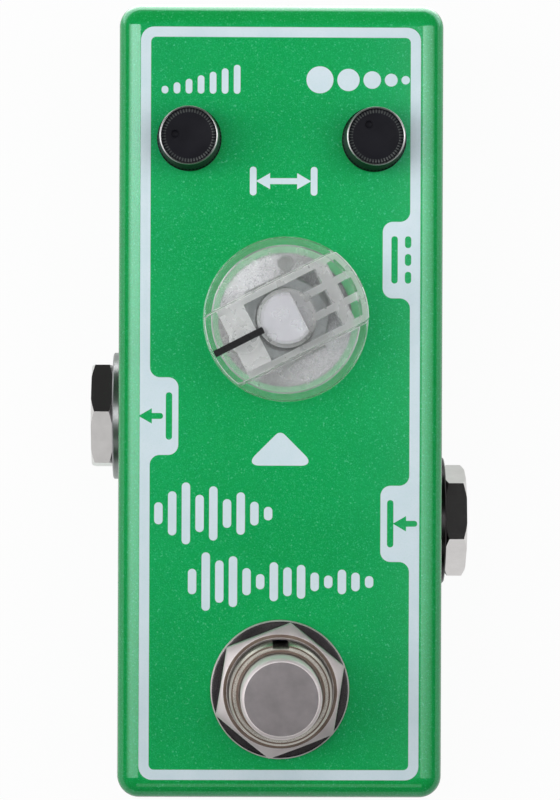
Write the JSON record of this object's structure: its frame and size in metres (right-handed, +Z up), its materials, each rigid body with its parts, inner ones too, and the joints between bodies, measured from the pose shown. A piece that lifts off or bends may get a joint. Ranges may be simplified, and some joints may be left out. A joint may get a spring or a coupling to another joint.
{
  "type": "delay effects pedal",
  "caption": "Compact cast-metal audio delay pedal with a clear time knob, small level and repeat knobs, a footswitch, side-wall jacks and a power socket.",
  "frame": {"origin": "centre of the overall box on the surface that the rubber feet stand on", "axes": "+X towards the input side, +Y towards the knob end, +Z up through the top panel"},
  "size_m": [0.0456, 0.094, 0.0461],
  "materials": {
    "green_paint": "metallic gloss",
    "dark_steel": "satin",
    "nickel": "polished",
    "shaft_aluminium": "satin",
    "brass": "satin",
    "rubber": "matte",
    "clear_plastic": "clear",
    "led_resin": "clear",
    "black_plastic": "satin",
    "blue_plastic": "satin",
    "red_plastic": "gloss",
    "can_sleeve": "gloss",
    "board": "satin",
    "cable": "matte"
  },
  "bodies": {
    "housing": {"enclosure": "green_paint", "base_cover": "green_paint", "cover_screws": "dark_steel", "rubber_feet": "rubber", "main_board": "board", "delay_chip": "black_plastic", "amplifier_chip": "black_plastic", "electrolytic_capacitors": "can_sleeve", "film_capacitors": "red_plastic", "voltage_regulator": "black_plastic", "status_led": "led_resin", "time_pot_body": "dark_steel", "time_pot_bush": "nickel", "time_pot_washer": "nickel", "time_pot_nut": "nickel", "level_pot_body": "dark_steel", "repeat_pot_body": "dark_steel", "footswitch_case": "blue_plastic", "footswitch_bush": "nickel", "footswitch_washer": "nickel", "footswitch_nut": "nickel", "footswitch_lock_nut": "nickel", "footswitch_lock_washer": "nickel", "footswitch_terminals": "brass", "footswitch_spring": "nickel", "switch_board": "board", "board_link": "cable", "output_jack_body": "black_plastic", "output_jack_bush": "nickel", "output_jack_washer": "nickel", "output_jack_nut": "nickel", "output_jack_contacts": "brass", "input_jack_body": "black_plastic", "input_jack_bush": "nickel", "input_jack_washer": "nickel", "input_jack_nut": "nickel", "input_jack_contacts": "brass", "power_socket_body": "black_plastic", "power_socket_pin": "nickel", "power_socket_contact": "brass"},
    "time_control": {"time_pot_shaft": "shaft_aluminium", "time_knob": "clear_plastic", "time_pointer": "black_plastic"},
    "level_control": {"level_pot_shaft": "black_plastic", "level_knob": "black_plastic"},
    "repeat_control": {"repeat_pot_shaft": "black_plastic", "repeat_knob": "black_plastic"},
    "footswitch_button": {"footswitch_plunger": "nickel"}
  },
  "joints": [
    {"name": "time_turn", "type": "hinge", "parent": "housing", "child": "time_control", "pos_m": [0.0005, 0.00965, 0.0325], "axis": [0, 0, 1], "range_deg": [-267, 33]},
    {"name": "level_turn", "type": "hinge", "parent": "housing", "child": "level_control", "pos_m": [-0.0109, 0.03095, 0.0325], "axis": [0, 0, 1], "range_deg": [-234, 66]},
    {"name": "repeat_turn", "type": "hinge", "parent": "housing", "child": "repeat_control", "pos_m": [0.0109, 0.03095, 0.0325], "axis": [0, 0, 1], "range_deg": [-181.5, 118.5]},
    {"name": "footswitch_press", "type": "slide", "parent": "housing", "child": "footswitch_button", "axis": [0, 0, -1], "range_m": [0, 0.0025], "stiffness_N_per_m": 2000, "springref_m": -0.001, "deforming": ["footswitch_spring"]}
  ]
}
